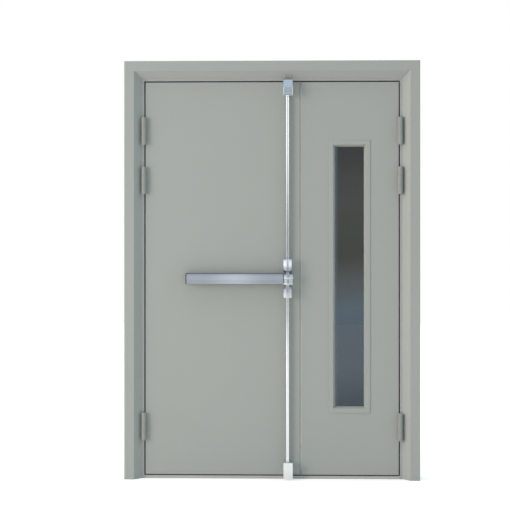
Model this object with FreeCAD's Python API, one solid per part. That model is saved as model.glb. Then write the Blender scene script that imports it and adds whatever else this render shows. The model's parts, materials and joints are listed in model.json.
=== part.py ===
import FreeCAD, Part
import math
import os

from FreeCAD import Vector

# Unequal double-leaf steel exit door in a splayed steel frame, in millimetres.
# +X runs right along the wall, +Y into the wall and away from the push bar side, +Z up.
# The origin is at the middle of the frame's width and depth, on the underside of the sill.

os.makedirs("parts", exist_ok=True)

# Frame: one press-folded profile round both jambs and the head, mitred at the corners
frame_width = 1500.0
frame_height = 2125.0
frame_depth = 120.0
frame_sheet = 2.0
bend_radius = 3.0
face_width = 50.0
splay = 36.0
lip_width = 13.0
stop_projection = 18.0
wall_return = 14.0
sill_height = 15.0
sill_stop_height = 18.0
anchor_hole_radius = 5.5
anchor_above_floor = 110.0
anchor_below_top = 215.0
anchor_count = 4

# Door leaves: two folded steel trays round a core
leaf_thickness = 50.0
leaf_sheet = 1.5
leaf_edge_radius = 1.5
leaf_gap = 6.0
meeting_gap = 6.0
left_leaf_width = 788.0
left_meeting_bevel = 3.0
right_meeting_bevel = 4.0

# Rubber seals
gasket_width = 12.0
gasket_thickness = 3.5
gasket_inset = 2.0
seal_clearance = 0.5
meeting_seal_proud = 0.8
meeting_seal_depth = 7.0

# Hinges
hinge_height = 140.0
top_hinge_below_leaf_top = 249.0
upper_hinge_below_leaf_top = 501.0
bottom_hinge_above_leaf_foot = 245.5
knuckle_count = 3
barrel_radius = 12.0
pin_radius = 5.0
pin_clearance = 0.2
knuckle_gap = 0.4
plate_separation = 1.0
plate_depth = 30.0
barrel_outset = 1.0
barrel_lip_clearance = 1.0

# Vision panel in the right leaf
vision_width = 150.0
vision_toward_meeting_edge = 1.5
vision_below_leaf_top = 327.0
vision_above_leaf_foot = 345.0
glass_thickness = 8.0
glass_cover = 10.0
trim_sheet = 1.5
trim_flat = 21.0
trim_bevel = 9.0
trim_stand = 3.0
cutout_margin = 15.0
gasket_lip = 2.0

# Exit device on the left leaf
rod_radius = 10.0
rod_bore_clearance = 0.3
rod_from_meeting_edge = 63.0
rod_stand = 16.0
bolt_radius = 7.0
bolt_setback = 6.0
press_travel = 12.0
bar_middle_height = 1020.0
bar_height = 55.0
bar_length = 494.5
bar_wall = 2.5
rail_depth = 38.0
pad_stand = 56.0
pad_apron = 2.0
pad_apron_height = 17.0
pad_wall = 2.0
pad_side_clearance = 1.0
pad_end_clearance = 0.75
pad_flange_reach = 30.0
stem_side = 10.0
stem_clearance = 0.25
stem_inset = 70.0
stem_guide_side = 16.0
stem_guide_reach = 26.0
end_cap_thickness = 5.0
end_cap_overhang = 2.0
fitting_past_rod = 2.5
head_width = 50.0
head_height = 54.5
head_drop = 2.5
head_stand = 61.0
head_bow = 10.0
head_top_chamfer = 5.0
head_cap_margin = 1.5
guide_width = 43.0
guide_stand = 53.0
guide_bow = 9.0
guide_chamfer = 5.0
upper_guide_height = 65.5
lower_guide_height = 56.0
upper_guide_gap = 7.75
lower_guide_gap = 11.0
case_width = 48.0
case_stand = 52.0
case_corner_radius = 9.0
top_case_height = 80.0
top_case_rise = 7.0
top_case_slope_height = 35.0
top_case_slope_depth = 10.0
top_flange_height = 13.0
top_flange_margin = 1.5
bottom_case_height = 82.5
bottom_case_floor_gap = 10.0
case_relief = 6.0
rod_in_case = 33.0
rod_in_head = 12.0
strike_width = 41.0
strike_length = 27.0
strike_thickness = 2.0
strike_start = 2.0

# Places that follow from the sizes above
front_y = -frame_depth / 2
back_y = frame_depth / 2
lip_y = front_y + splay
opening_inset = face_width + splay + lip_width
half_opening = frame_width / 2 - opening_inset
opening_top = frame_height - opening_inset
leaf_front = lip_y
leaf_middle = leaf_front + leaf_thickness / 2
leaf_back = leaf_front + leaf_thickness
stop_y = leaf_back + seal_clearance + gasket_thickness
leaf_bottom = sill_height + leaf_gap
leaf_top = opening_top - leaf_gap
leaf_outer = half_opening - leaf_gap
left_meeting_x = left_leaf_width - leaf_outer
right_meeting_x = left_meeting_x + meeting_gap
rod_x = left_meeting_x - rod_from_meeting_edge
rod_y = leaf_front - rod_stand
fitting_x = rod_x + fitting_past_rod
plate_thickness = (leaf_gap - plate_separation) / 2
hinge_x = half_opening + barrel_outset
hinge_y = lip_y - barrel_lip_clearance - barrel_radius
hinge_middles = {
    "top": leaf_top - top_hinge_below_leaf_top,
    "upper": leaf_top - upper_hinge_below_leaf_top,
    "bottom": leaf_bottom + bottom_hinge_above_leaf_foot,
}
vision_middle_x = (right_meeting_x + leaf_outer) / 2 - vision_toward_meeting_edge
vision_left = vision_middle_x - vision_width / 2
vision_right = vision_middle_x + vision_width / 2
vision_bottom = leaf_bottom + vision_above_leaf_foot
vision_top = leaf_top - vision_below_leaf_top
glass_front = leaf_middle - glass_thickness / 2


def box(x0, x1, y0, y1, z0, z1):
    return Part.makeBox(x1 - x0, y1 - y0, z1 - z0, Vector(x0, y0, z0))


def upright_cylinder(x, y, radius, z0, z1):
    return Part.makeCylinder(radius, z1 - z0, Vector(x, y, z0))


def offset_path(path, distance):
    # The path moved to its left by the distance, with mitred corners
    normals = []
    for (a0, b0), (a1, b1) in zip(path, path[1:]):
        length = math.hypot(a1 - a0, b1 - b0)
        normals.append((-(b1 - b0) / length, (a1 - a0) / length))
    moved = []
    for index, (a, b) in enumerate(path):
        before = normals[max(index - 1, 0)]
        after = normals[min(index, len(normals) - 1)]
        share = distance / (1 + before[0] * after[0] + before[1] * after[1])
        moved.append((a + (before[0] + after[0]) * share, b + (before[1] + after[1]) * share))
    return moved


def bend_radii(path, left_side, radius):
    # Radius at each corner of one side of a folded sheet: round outside a bend, sharp inside
    radii = [0.0]
    for (a0, b0), (a1, b1), (a2, b2) in zip(path, path[1:], path[2:]):
        turn = (a1 - a0) * (b2 - b1) - (b1 - b0) * (a2 - a1)
        inside = (turn > 0) == left_side
        radii.append(0.0 if inside else radius)
    return radii + [0.0]


def folded_sheet(path, thickness, radius):
    # Closed outline of a sheet folded along the path, with its thickness to the path's left
    inner = offset_path(path, thickness)
    points = path + inner[::-1]
    radii = bend_radii(path, False, radius) + bend_radii(path, True, radius)[::-1]
    return points, radii


def outline_face(points, radii, place):
    # Face inside a closed outline, where a corner with a radius becomes a tangent arc
    count = len(points)
    starts = []
    ends = []
    middles = []
    for index in range(count):
        a0, b0 = points[index - 1]
        a1, b1 = points[index]
        a2, b2 = points[(index + 1) % count]
        in_length = math.hypot(a0 - a1, b0 - b1)
        out_length = math.hypot(a2 - a1, b2 - b1)
        to_in = ((a0 - a1) / in_length, (b0 - b1) / in_length)
        to_out = ((a2 - a1) / out_length, (b2 - b1) / out_length)
        corner = math.acos(max(-1.0, min(1.0, to_in[0] * to_out[0] + to_in[1] * to_out[1])))
        reach = radii[index] / math.tan(corner / 2)
        starts.append((a1 + to_in[0] * reach, b1 + to_in[1] * reach))
        ends.append((a1 + to_out[0] * reach, b1 + to_out[1] * reach))
        bisector = (to_in[0] + to_out[0], to_in[1] + to_out[1])
        size = math.hypot(*bisector)
        depth = radii[index] / math.sin(corner / 2) - radii[index]
        middles.append((a1 + bisector[0] / size * depth, b1 + bisector[1] / size * depth))
    edges = []
    for index in range(count):
        if radii[index] > 0:
            arc = Part.Arc(place(*starts[index]), place(*middles[index]), place(*ends[index]))
            edges.append(arc.toShape())
        following = starts[(index + 1) % count]
        edges.append(Part.makeLine(place(*ends[index]), place(*following)))
    return Part.Face(Part.Wire(edges))


def plan_prism(points, z0, z1, radii=None):
    face = outline_face(points, radii or [0.0] * len(points), lambda x, y: Vector(x, y, z0))
    return face.extrude(Vector(0, 0, z1 - z0))


def side_prism(points, x0, x1, radii=None):
    face = outline_face(points, radii or [0.0] * len(points), lambda y, z: Vector(x0, y, z))
    return face.extrude(Vector(x1 - x0, 0, 0))


def front_prism(points, y0, y1):
    face = outline_face(points, [0.0] * len(points), lambda x, z: Vector(x, y0, z))
    return face.extrude(Vector(0, y1 - y0, 0))


def mitred_ring(section, x0, x1, z0, z1):
    # Ring round a rectangle: each section point is (distance outward from the rectangle, y)
    loops = []
    for out, y in section:
        loops.append([
            Vector(x0 - out, y, z0 - out),
            Vector(x1 + out, y, z0 - out),
            Vector(x1 + out, y, z1 + out),
            Vector(x0 - out, y, z1 + out),
        ])
    faces = []
    for near, far in zip(loops, loops[1:] + loops[:1]):
        for corner in range(4):
            following = (corner + 1) % 4
            path = [near[corner], near[following], far[following], far[corner], near[corner]]
            faces.append(Part.Face(Part.makePolygon(path)))
    solid = Part.Solid(Part.Shell(faces))
    if solid.Volume < 0:
        solid.reverse()
    return solid


def mirrored(shape):
    return shape.mirror(Vector(0, 0, 0), Vector(1, 0, 0))


def save(name, shape):
    shape.exportStep("parts/" + name + ".step")


# Frame
# The sheet runs from the front wall return over face, splay, lip, rabbet and stop to the back
frame_path = [
    (0.0, front_y + wall_return),
    (0.0, front_y),
    (face_width, front_y),
    (face_width + splay, lip_y),
    (opening_inset, lip_y),
    (opening_inset, stop_y),
    (opening_inset + stop_projection, stop_y),
    (opening_inset + stop_projection, back_y),
    (0.0, back_y),
    (0.0, back_y - wall_return),
]
frame_points, frame_radii = folded_sheet(frame_path, frame_sheet, bend_radius)
profile_width = opening_inset + stop_projection


def make_jamb():
    points = [(-frame_width / 2 + inward, y) for inward, y in frame_points]
    post = plan_prism(points, 0.0, frame_height, frame_radii)
    outer_x = -frame_width / 2
    inner_x = outer_x + profile_width
    region = front_prism(
        [
            (outer_x, 0.0),
            (inner_x, 0.0),
            (inner_x, frame_height - profile_width),
            (outer_x, frame_height),
        ],
        front_y,
        back_y,
    )
    post = post.common(region)
    spacing = (frame_height - anchor_below_top - anchor_above_floor) / (anchor_count - 1)
    for index in range(anchor_count):
        height = anchor_above_floor + index * spacing
        start = Vector(-half_opening - 2 * frame_sheet, (lip_y + stop_y) / 2, height)
        post = post.cut(Part.makeCylinder(anchor_hole_radius, 4 * frame_sheet, start, Vector(1, 0, 0)))
    return post


def make_head():
    points = [(y, frame_height - inward) for inward, y in frame_points]
    beam = side_prism(points, -frame_width / 2, frame_width / 2, frame_radii)
    half = frame_width / 2
    low = frame_height - profile_width
    region = front_prism(
        [
            (-half, frame_height),
            (-half + profile_width, low),
            (half - profile_width, low),
            (half, frame_height),
        ],
        front_y,
        back_y,
    )
    return beam.common(region)


def make_sill():
    # Closed threshold section: a flat front part and a stop behind the leaves
    outline = [
        (lip_y, 0.0),
        (back_y, 0.0),
        (back_y, sill_height + sill_stop_height),
        (stop_y, sill_height + sill_stop_height),
        (stop_y, sill_height),
        (lip_y, sill_height),
    ]
    wall = frame_sheet
    hollow = [
        (lip_y + wall, wall),
        (back_y - wall, wall),
        (back_y - wall, sill_height + sill_stop_height - wall),
        (stop_y + wall, sill_height + sill_stop_height - wall),
        (stop_y + wall, sill_height - wall),
        (lip_y + wall, sill_height - wall),
    ]
    sill = side_prism(outline, -half_opening, half_opening)
    sill = sill.cut(side_prism(hollow, -half_opening, half_opening))
    stop_end = half_opening - stop_projection
    for side in (-1, 1):
        low_x, high_x = sorted((side * stop_end, side * half_opening))
        sill = sill.cut(box(low_x, high_x, stop_y, back_y, 0.0, sill_height + sill_stop_height))
    return sill.cut([left_jamb, right_jamb])


left_jamb = make_jamb()
right_jamb = mirrored(left_jamb)
save("left_jamb", left_jamb)
save("right_jamb", right_jamb)
save("head", make_head())
save("sill", make_sill())

# Seals on the stop, behind the edges of the leaves
gasket_front = stop_y - gasket_thickness
gasket_outer_x = half_opening - gasket_inset
gasket_inner_x = gasket_outer_x - gasket_width
gasket_top_z = opening_top - gasket_inset
gasket_low_z = sill_height + gasket_inset
side_gasket = box(
    -gasket_outer_x, -gasket_inner_x, gasket_front, stop_y, sill_height, gasket_top_z
)
save("left_gasket", side_gasket)
save("right_gasket", mirrored(side_gasket))
save("top_gasket", box(
    -gasket_inner_x, gasket_inner_x, gasket_front, stop_y, gasket_top_z - gasket_width, gasket_top_z
))
save("bottom_gasket", box(
    -gasket_inner_x, gasket_inner_x, gasket_front, stop_y, gasket_low_z, gasket_low_z + gasket_width
))


# Hinges
def own_knuckles(first):
    # Height ranges of every second knuckle, measured from the foot of the hinge
    pitch = hinge_height / knuckle_count
    ranges = []
    for index in range(first, knuckle_count, 2):
        low = index * pitch + (knuckle_gap / 2 if index > 0 else 0.0)
        high = (index + 1) * pitch - (knuckle_gap / 2 if index < knuckle_count - 1 else 0.0)
        ranges.append((low, high))
    return ranges


def make_frame_hinge(foot):
    # Frame half on the left jamb: a plate on the rabbet, the outer knuckles and the pin
    plate_x0 = -half_opening
    plate_x1 = plate_x0 + plate_thickness
    half = box(plate_x0, plate_x1, lip_y, lip_y + plate_depth, foot, foot + hinge_height)
    for low, high in own_knuckles(0):
        tab = box(plate_x0, plate_x1, hinge_y, lip_y, foot + low, foot + high)
        knuckle = upright_cylinder(-hinge_x, hinge_y, barrel_radius, foot + low, foot + high)
        half = half.fuse([tab, knuckle])
    pin = upright_cylinder(-hinge_x, hinge_y, pin_radius, foot, foot + hinge_height)
    return half.fuse(pin).removeSplitter()


def make_leaf_hinge(foot):
    # Leaf half on the left leaf: a plate on the leaf's edge and the knuckles that turn on the pin
    plate_x1 = -leaf_outer
    plate_x0 = plate_x1 - plate_thickness
    half = box(plate_x0, plate_x1, lip_y, lip_y + plate_depth, foot, foot + hinge_height)
    for low, high in own_knuckles(1):
        tab = box(plate_x0, plate_x1, hinge_y, lip_y, foot + low, foot + high)
        knuckle = upright_cylinder(-hinge_x, hinge_y, barrel_radius, foot + low, foot + high)
        half = half.fuse([tab, knuckle])
    bore = upright_cylinder(-hinge_x, hinge_y, pin_radius + pin_clearance, foot, foot + hinge_height)
    return half.cut(bore).removeSplitter()


for place, middle in hinge_middles.items():
    foot = middle - hinge_height / 2
    frame_half = make_frame_hinge(foot)
    leaf_half = make_leaf_hinge(foot)
    save("left_" + place + "_hinge_on_frame", frame_half)
    save("left_" + place + "_hinge_on_leaf", leaf_half)
    save("right_" + place + "_hinge_on_frame", mirrored(frame_half))
    save("right_" + place + "_hinge_on_leaf", mirrored(leaf_half))


# Leaves
def leaf_slab(hinge_edge, meeting_edge, bevel, depth0, depth1, inset):
    # Slice of a leaf between two depths from its front, whose meeting edge is bevelled
    toward = 1 if meeting_edge > hinge_edge else -1
    edge0 = meeting_edge - toward * (bevel * depth0 / leaf_thickness + inset)
    edge1 = meeting_edge - toward * (bevel * depth1 / leaf_thickness + inset)
    side = hinge_edge + toward * inset
    points = [
        (side, leaf_front + depth0),
        (edge0, leaf_front + depth0),
        (edge1, leaf_front + depth1),
        (side, leaf_front + depth1),
    ]
    return plan_prism(points, leaf_bottom + inset, leaf_top - inset)


def round_face_edges(shape, y, radius):
    edges = []
    for edge in shape.Edges:
        bounds = edge.BoundBox
        if abs(bounds.YMin - y) < 0.01 and abs(bounds.YMax - y) < 0.01:
            edges.append(edge)
    return shape.makeFillet(radius, edges)


def make_leaf(hinge_edge, meeting_edge, bevel, cutout=None):
    # Front tray, back tray and the core that fills them, with an opening for the vision panel
    half = leaf_thickness / 2
    sheet = leaf_sheet
    front = leaf_slab(hinge_edge, meeting_edge, bevel, 0.0, half, 0.0)
    back = leaf_slab(hinge_edge, meeting_edge, bevel, half, leaf_thickness, 0.0)
    front = round_face_edges(front, leaf_front, leaf_edge_radius)
    back = round_face_edges(back, leaf_back, leaf_edge_radius)
    core = leaf_slab(hinge_edge, meeting_edge, bevel, sheet, leaf_thickness - sheet, sheet)
    if cutout:
        x0, x1, z0, z1 = cutout
        lining = box(x0 - sheet, x1 + sheet, leaf_front, leaf_back, z0 - sheet, z1 + sheet)
        core = core.cut(lining)
    front = front.cut(core)
    back = back.cut(core)
    if cutout:
        hole = box(x0, x1, leaf_front, leaf_back, z0, z1)
        front = front.cut(hole)
        back = back.cut(hole)
    return front, back, core


left_front, left_back, left_core = make_leaf(-leaf_outer, left_meeting_x, left_meeting_bevel)
save("left_front_skin", left_front)
save("left_back_skin", left_back)
save("left_core", left_core)

cutout = (
    vision_left - cutout_margin,
    vision_right + cutout_margin,
    vision_bottom - cutout_margin,
    vision_top + cutout_margin,
)
right_front, right_back, right_core = make_leaf(
    leaf_outer, right_meeting_x, right_meeting_bevel, cutout
)
save("right_front_skin", right_front)
save("right_back_skin", right_back)
save("right_core", right_core)

# Seal along the left leaf's meeting edge, just short of the right leaf
seal_front = leaf_front - meeting_seal_proud
seal_back = seal_front + meeting_seal_depth
bevel_rate = left_meeting_bevel / leaf_thickness
seal_tip = right_meeting_x - seal_clearance
save("meeting_seal", plan_prism(
    [
        (left_meeting_x - bevel_rate * (seal_front - leaf_front), seal_front),
        (seal_tip, seal_front),
        (seal_tip, seal_back),
        (left_meeting_x - bevel_rate * (seal_back - leaf_front), seal_back),
    ],
    leaf_bottom,
    leaf_top,
))


# Vision panel
def trim_section(face_y, glass_y):
    # Folded bead: a lip on the leaf, a flat border and a bevel that runs in to the glass gasket
    outward = -1.0 if face_y < glass_y else 1.0
    proud_y = face_y + outward * trim_stand
    path = [
        (trim_bevel + trim_flat, face_y),
        (trim_bevel + trim_flat, proud_y),
        (trim_bevel, proud_y),
        (0.0, glass_y),
    ]
    inner = offset_path(path, outward * trim_sheet)
    rise = (inner[3][0] - inner[2][0]) / (inner[3][1] - inner[2][1])
    inner[3] = (inner[2][0] + (glass_y - inner[2][1]) * rise, glass_y)
    inner[0] = (inner[0][0], face_y)
    return path + inner[::-1]


glass_back = glass_front + glass_thickness
vision_rectangle = (vision_left, vision_right, vision_bottom, vision_top)
save("vision_glass", box(
    vision_left - glass_cover,
    vision_right + glass_cover,
    glass_front,
    glass_back,
    vision_bottom - glass_cover,
    vision_top + glass_cover,
))
save("vision_gasket", mitred_ring(
    [
        (gasket_lip, glass_front - gasket_lip),
        (glass_cover + gasket_lip, glass_front - gasket_lip),
        (glass_cover + gasket_lip, glass_back + gasket_lip),
        (gasket_lip, glass_back + gasket_lip),
        (gasket_lip, glass_back),
        (glass_cover, glass_back),
        (glass_cover, glass_front),
        (gasket_lip, glass_front),
    ],
    *vision_rectangle,
))
save("vision_front_trim", mitred_ring(
    trim_section(leaf_front, glass_front - gasket_lip), *vision_rectangle
))
save("vision_back_trim", mitred_ring(
    trim_section(leaf_back, glass_back + gasket_lip), *vision_rectangle
))

# Push bar
bar_low = bar_middle_height - bar_height / 2
bar_high = bar_middle_height + bar_height / 2
bar_right = fitting_x - head_width / 2
bar_left = bar_right - bar_length
rail_left = bar_left + end_cap_thickness
rail_front = leaf_front - rail_depth
stem_places = (rail_left + stem_inset, bar_right - stem_inset)


def square_bar(x, side, y0, y1):
    # Bar across the wall, centred on the push bar's middle height
    half = side / 2
    return box(x - half, x + half, y0, y1, bar_middle_height - half, bar_middle_height + half)


rail_path = [
    (rail_front, bar_high),
    (leaf_front, bar_high),
    (leaf_front, bar_low),
    (rail_front, bar_low),
]
rail_inner = offset_path(rail_path, -bar_wall)
rail = side_prism(rail_path + rail_inner[::-1], rail_left, bar_right)
for stem_x in stem_places:
    guide_front = leaf_front - stem_guide_reach
    guide = square_bar(stem_x, stem_guide_side, guide_front, leaf_front)
    bore = square_bar(stem_x, stem_side + 2 * stem_clearance, guide_front, leaf_front)
    rail = rail.fuse(guide).removeSplitter().cut(bore)
save("push_bar_rail", rail)

pad_low = bar_low + bar_wall + pad_side_clearance
pad_high = bar_high - bar_wall - pad_side_clearance
pad_front = leaf_front - pad_stand
pad_rear = pad_front + pad_flange_reach
pad_path = [
    (pad_rear, pad_high),
    (pad_front, pad_high),
    (pad_front, pad_low + pad_apron_height),
    (pad_front - pad_apron, pad_low),
    (pad_rear, pad_low),
]
pad_inner = offset_path(pad_path, pad_wall)
pad = side_prism(
    pad_path + pad_inner[::-1], rail_left + pad_end_clearance, bar_right - pad_end_clearance
)
stem_end = leaf_front - press_travel - rod_bore_clearance - pad_wall
for stem_x in stem_places:
    pad = pad.fuse(square_bar(stem_x, stem_side, pad_front + pad_wall / 2, stem_end))
save("push_bar_pad", pad)

save("push_bar_end_cap", box(
    bar_left, rail_left, pad_front - pad_apron - end_cap_overhang, leaf_front, bar_low, bar_high
))

# Exit head and rod guides
head_high = bar_middle_height + head_height / 2 - head_drop
head_low = head_high - head_height
head_cap_low = (head_low + head_high) / 2
rod_bore = rod_radius + rod_bore_clearance


def bored(shape, z0, z1):
    return shape.cut(upright_cylinder(rod_x, rod_y, rod_bore, z0, z1))


def bowed_block(middle_x, width, y_front, bow, z0, z1):
    # Block on the leaf whose front bows out between its sides
    left = middle_x - width / 2
    right = middle_x + width / 2
    y_side = y_front + bow
    corners = [
        Vector(right, y_side, z0),
        Vector(right, leaf_front, z0),
        Vector(left, leaf_front, z0),
        Vector(left, y_side, z0),
    ]
    arc = Part.Arc(corners[3], Vector(middle_x, y_front, z0), corners[0]).toShape()
    outline = Part.Wire(Part.makePolygon(corners).Edges + [arc])
    return Part.Face(outline).extrude(Vector(0, 0, z1 - z0))


def chamfer_rim(shape, z, size):
    # Chamfers the rim of a block at height z, apart from its edge on the leaf
    rim = []
    for edge in shape.Edges:
        bounds = edge.BoundBox
        level = abs(bounds.ZMin - z) < 0.01 and abs(bounds.ZMax - z) < 0.01
        if level and bounds.YMin < leaf_front - 0.01:
            rim.append(edge)
    return shape.makeChamfer(size, rim)


def head_block(margin, z0, z1):
    front = leaf_front - head_stand + margin
    return bowed_block(fitting_x, head_width - 2 * margin, front, head_bow, z0, z1)


head_cap = chamfer_rim(head_block(0.0, head_cap_low, head_high), head_high, head_top_chamfer)
exit_head = head_cap.fuse(head_block(head_cap_margin, head_low, head_cap_low)).removeSplitter()
save("exit_head", bored(exit_head, head_low, head_high))


def make_guide(z0, z1, chamfer_z):
    guide = bowed_block(rod_x, guide_width, leaf_front - guide_stand, guide_bow, z0, z1)
    return bored(chamfer_rim(guide, chamfer_z, guide_chamfer), z0, z1)


upper_guide_low = head_high + upper_guide_gap
upper_guide_high = upper_guide_low + upper_guide_height
save("upper_rod_guide", make_guide(upper_guide_low, upper_guide_high, upper_guide_low))
lower_guide_high = head_low - lower_guide_gap
lower_guide_low = lower_guide_high - lower_guide_height
save("lower_rod_guide", make_guide(lower_guide_low, lower_guide_high, lower_guide_high))

# Latch cases at the ends of the rods
top_case_high = leaf_top + top_case_rise
top_case_low = top_case_high - top_case_height
bottom_case_low = bottom_case_floor_gap
bottom_case_high = bottom_case_low + bottom_case_height
case_front = leaf_front - case_stand
case_left = fitting_x - case_width / 2
case_right = fitting_x + case_width / 2


def round_corner_block(x0, x1, y_front, z0, z1, radius):
    # Block on the leaf with two round upright corners at its front
    points = [(x0, leaf_front), (x0, y_front), (x1, y_front), (x1, leaf_front)]
    return plan_prism(points, z0, z1, [0.0, radius, radius, 0.0])


def case_bores(shape, rod_from, rod_to, bolt_from, bolt_to):
    shape = shape.cut(upright_cylinder(rod_x, rod_y, rod_bore, rod_from, rod_to))
    bolt_bore = bolt_radius + rod_bore_clearance
    return shape.cut(upright_cylinder(rod_x, rod_y, bolt_bore, bolt_from, bolt_to))


upper_rod_top = top_case_low + rod_in_case
top_case = round_corner_block(
    case_left, case_right, case_front, top_case_low, top_case_high, case_corner_radius
)
slope_foot = top_case_high - top_case_slope_height
slope = side_prism(
    [
        (case_front, slope_foot),
        (case_front, top_case_high),
        (case_front + top_case_slope_depth, top_case_high),
    ],
    case_left,
    case_right,
)
top_case = top_case.cut(slope)
flange = round_corner_block(
    case_left - top_flange_margin,
    case_right + top_flange_margin,
    case_front - top_flange_margin,
    top_case_low,
    top_case_low + top_flange_height,
    case_corner_radius + top_flange_margin,
)
top_case = top_case.fuse(flange).removeSplitter()
top_case = top_case.cut(box(
    case_left, case_right, leaf_front - case_relief, leaf_front, leaf_top - case_relief, top_case_high
))
top_case = case_bores(
    top_case, top_case_low, upper_rod_top + bolt_setback, upper_rod_top, top_case_high
)
save("top_latch_case", top_case)

lower_rod_foot = bottom_case_high - rod_in_case
bottom_case = round_corner_block(
    case_left, case_right, case_front, bottom_case_low, bottom_case_high, case_corner_radius
)
bottom_case = bottom_case.cut(box(
    case_left, case_right, leaf_front - case_relief, leaf_front, bottom_case_low, leaf_bottom + case_relief
))
bottom_case = case_bores(
    bottom_case, lower_rod_foot - bolt_setback, bottom_case_high, bottom_case_low, lower_rod_foot
)
save("bottom_latch_case", bottom_case)

# Rods with the bolts on their outer ends, drawn inside the cases
upper_rod_foot = head_high - rod_in_head
upper_bolt_top = top_case_high - bolt_setback
upper_rod = upright_cylinder(rod_x, rod_y, rod_radius, upper_rod_foot, upper_rod_top)
upper_rod = upper_rod.fuse(upright_cylinder(rod_x, rod_y, bolt_radius, upper_rod_top, upper_bolt_top))
save("upper_rod", upper_rod)

lower_rod_top = head_low + rod_in_head
lower_bolt_foot = bottom_case_low + bolt_setback
lower_rod = upright_cylinder(rod_x, rod_y, rod_radius, lower_rod_foot, lower_rod_top)
lower_rod = lower_rod.fuse(upright_cylinder(rod_x, rod_y, bolt_radius, lower_bolt_foot, lower_rod_foot))
save("lower_rod", lower_rod)

# Strike plate for the top bolt, flat on the head's splay
slant = math.sqrt(0.5)
strike_low_y = lip_y - strike_start * slant
strike_low_z = opening_top + lip_width + strike_start * slant
strike_high_y = strike_low_y - strike_length * slant
strike_high_z = strike_low_z + strike_length * slant
strike_step = strike_thickness * slant
save("top_strike", side_prism(
    [
        (strike_low_y, strike_low_z),
        (strike_high_y, strike_high_z),
        (strike_high_y - strike_step, strike_high_z - strike_step),
        (strike_low_y - strike_step, strike_low_z - strike_step),
    ],
    rod_x - strike_width / 2,
    rod_x + strike_width / 2,
))
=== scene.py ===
import json
import math

import bmesh
import bpy
import numpy as np
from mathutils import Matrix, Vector

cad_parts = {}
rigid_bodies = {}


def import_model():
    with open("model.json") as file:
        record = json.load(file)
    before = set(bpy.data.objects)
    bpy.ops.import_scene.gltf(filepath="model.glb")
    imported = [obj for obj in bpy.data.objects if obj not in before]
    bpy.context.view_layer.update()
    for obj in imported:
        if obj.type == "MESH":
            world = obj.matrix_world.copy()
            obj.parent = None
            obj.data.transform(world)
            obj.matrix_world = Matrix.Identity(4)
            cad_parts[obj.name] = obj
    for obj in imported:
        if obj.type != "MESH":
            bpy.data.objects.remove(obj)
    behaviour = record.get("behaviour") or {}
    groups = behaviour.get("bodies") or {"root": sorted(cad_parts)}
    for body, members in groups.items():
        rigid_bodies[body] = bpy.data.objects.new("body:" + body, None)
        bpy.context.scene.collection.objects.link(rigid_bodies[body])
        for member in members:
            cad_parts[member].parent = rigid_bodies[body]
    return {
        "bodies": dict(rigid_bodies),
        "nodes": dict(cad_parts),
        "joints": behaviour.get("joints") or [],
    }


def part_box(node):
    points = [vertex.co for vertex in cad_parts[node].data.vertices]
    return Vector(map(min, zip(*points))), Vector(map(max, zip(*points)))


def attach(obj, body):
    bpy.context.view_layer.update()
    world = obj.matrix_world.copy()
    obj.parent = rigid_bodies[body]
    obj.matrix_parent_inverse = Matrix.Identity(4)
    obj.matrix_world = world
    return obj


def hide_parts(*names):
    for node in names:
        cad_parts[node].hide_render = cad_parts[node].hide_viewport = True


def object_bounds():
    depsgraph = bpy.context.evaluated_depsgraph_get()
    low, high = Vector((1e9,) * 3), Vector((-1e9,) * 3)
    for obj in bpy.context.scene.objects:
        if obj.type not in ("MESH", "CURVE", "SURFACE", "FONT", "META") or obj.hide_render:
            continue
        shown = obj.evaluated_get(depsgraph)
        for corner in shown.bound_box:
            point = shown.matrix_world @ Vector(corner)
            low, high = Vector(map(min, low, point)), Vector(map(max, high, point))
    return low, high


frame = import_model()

# Steel exit door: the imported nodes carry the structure, and this script adds the finishes and
# the fine forms. Metres, +X right, +Y into the wall, +Z up, as in the frame.

# Blender's start-up objects aren't part of the door
ownObjects = set(frame["nodes"].values()) | set(frame["bodies"].values())
for thing in [each for each in bpy.data.objects if each not in ownObjects]:
    bpy.data.objects.remove(thing)
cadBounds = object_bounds()


# Places read from the frame
def nodeBox(name):
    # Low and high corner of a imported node
    low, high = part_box(name)
    return np.array(low), np.array(high)


leafFront = nodeBox("left_front_skin")[0][1]
leafBack = nodeBox("left_back_skin")[1][1]
leafFoot = nodeBox("left_front_skin")[0][2]
leafTop = nodeBox("left_front_skin")[1][2]
upperRodLow, upperRodHigh = nodeBox("upper_rod")
lowerRodLow, lowerRodHigh = nodeBox("lower_rod")
rodX, rodY = ((upperRodLow + upperRodHigh) / 2)[:2]
rodRadius = (upperRodHigh[0] - upperRodLow[0]) / 2
leafOuter = nodeBox("right_front_skin")[1][0]
halfOpening = nodeBox("sill")[1][0]


# Finishes
white = (1.0, 1.0, 1.0, 1.0)


def shownColour(red, green, blue, alpha=1.0):
    # From the 0-255 value that shows on a plainly lit surface to the shader's linear value
    shown = np.array([red, green, blue]) / 255
    linear = np.where(shown <= 0.04045, shown / 12.92, ((shown + 0.055) / 1.055) ** 2.4)
    return (*linear.tolist(), alpha)


def addNode(tree, kind, inputs=None, **settings):
    # One node with its settings; an input is a value, or another node's output to link
    node = tree.nodes.new(kind)
    for key, value in settings.items():
        setattr(node, key, value)
    for key, value in (inputs or {}).items():
        if isinstance(value, bpy.types.NodeSocket):
            tree.links.new(value, node.inputs[key])
        else:
            node.inputs[key].default_value = value
    return node


def startMaterial(name, constants):
    # New node material; the constants go straight on the shader's own sockets
    material = bpy.data.materials.new(name)
    material.use_nodes = True
    tree = material.node_tree
    shader = tree.nodes["Principled BSDF"]
    for key, value in constants.items():
        shader.inputs[key].default_value = value
    place = addNode(tree, "ShaderNodeTexCoord").outputs["Object"]
    return material, tree, shader, place


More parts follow.
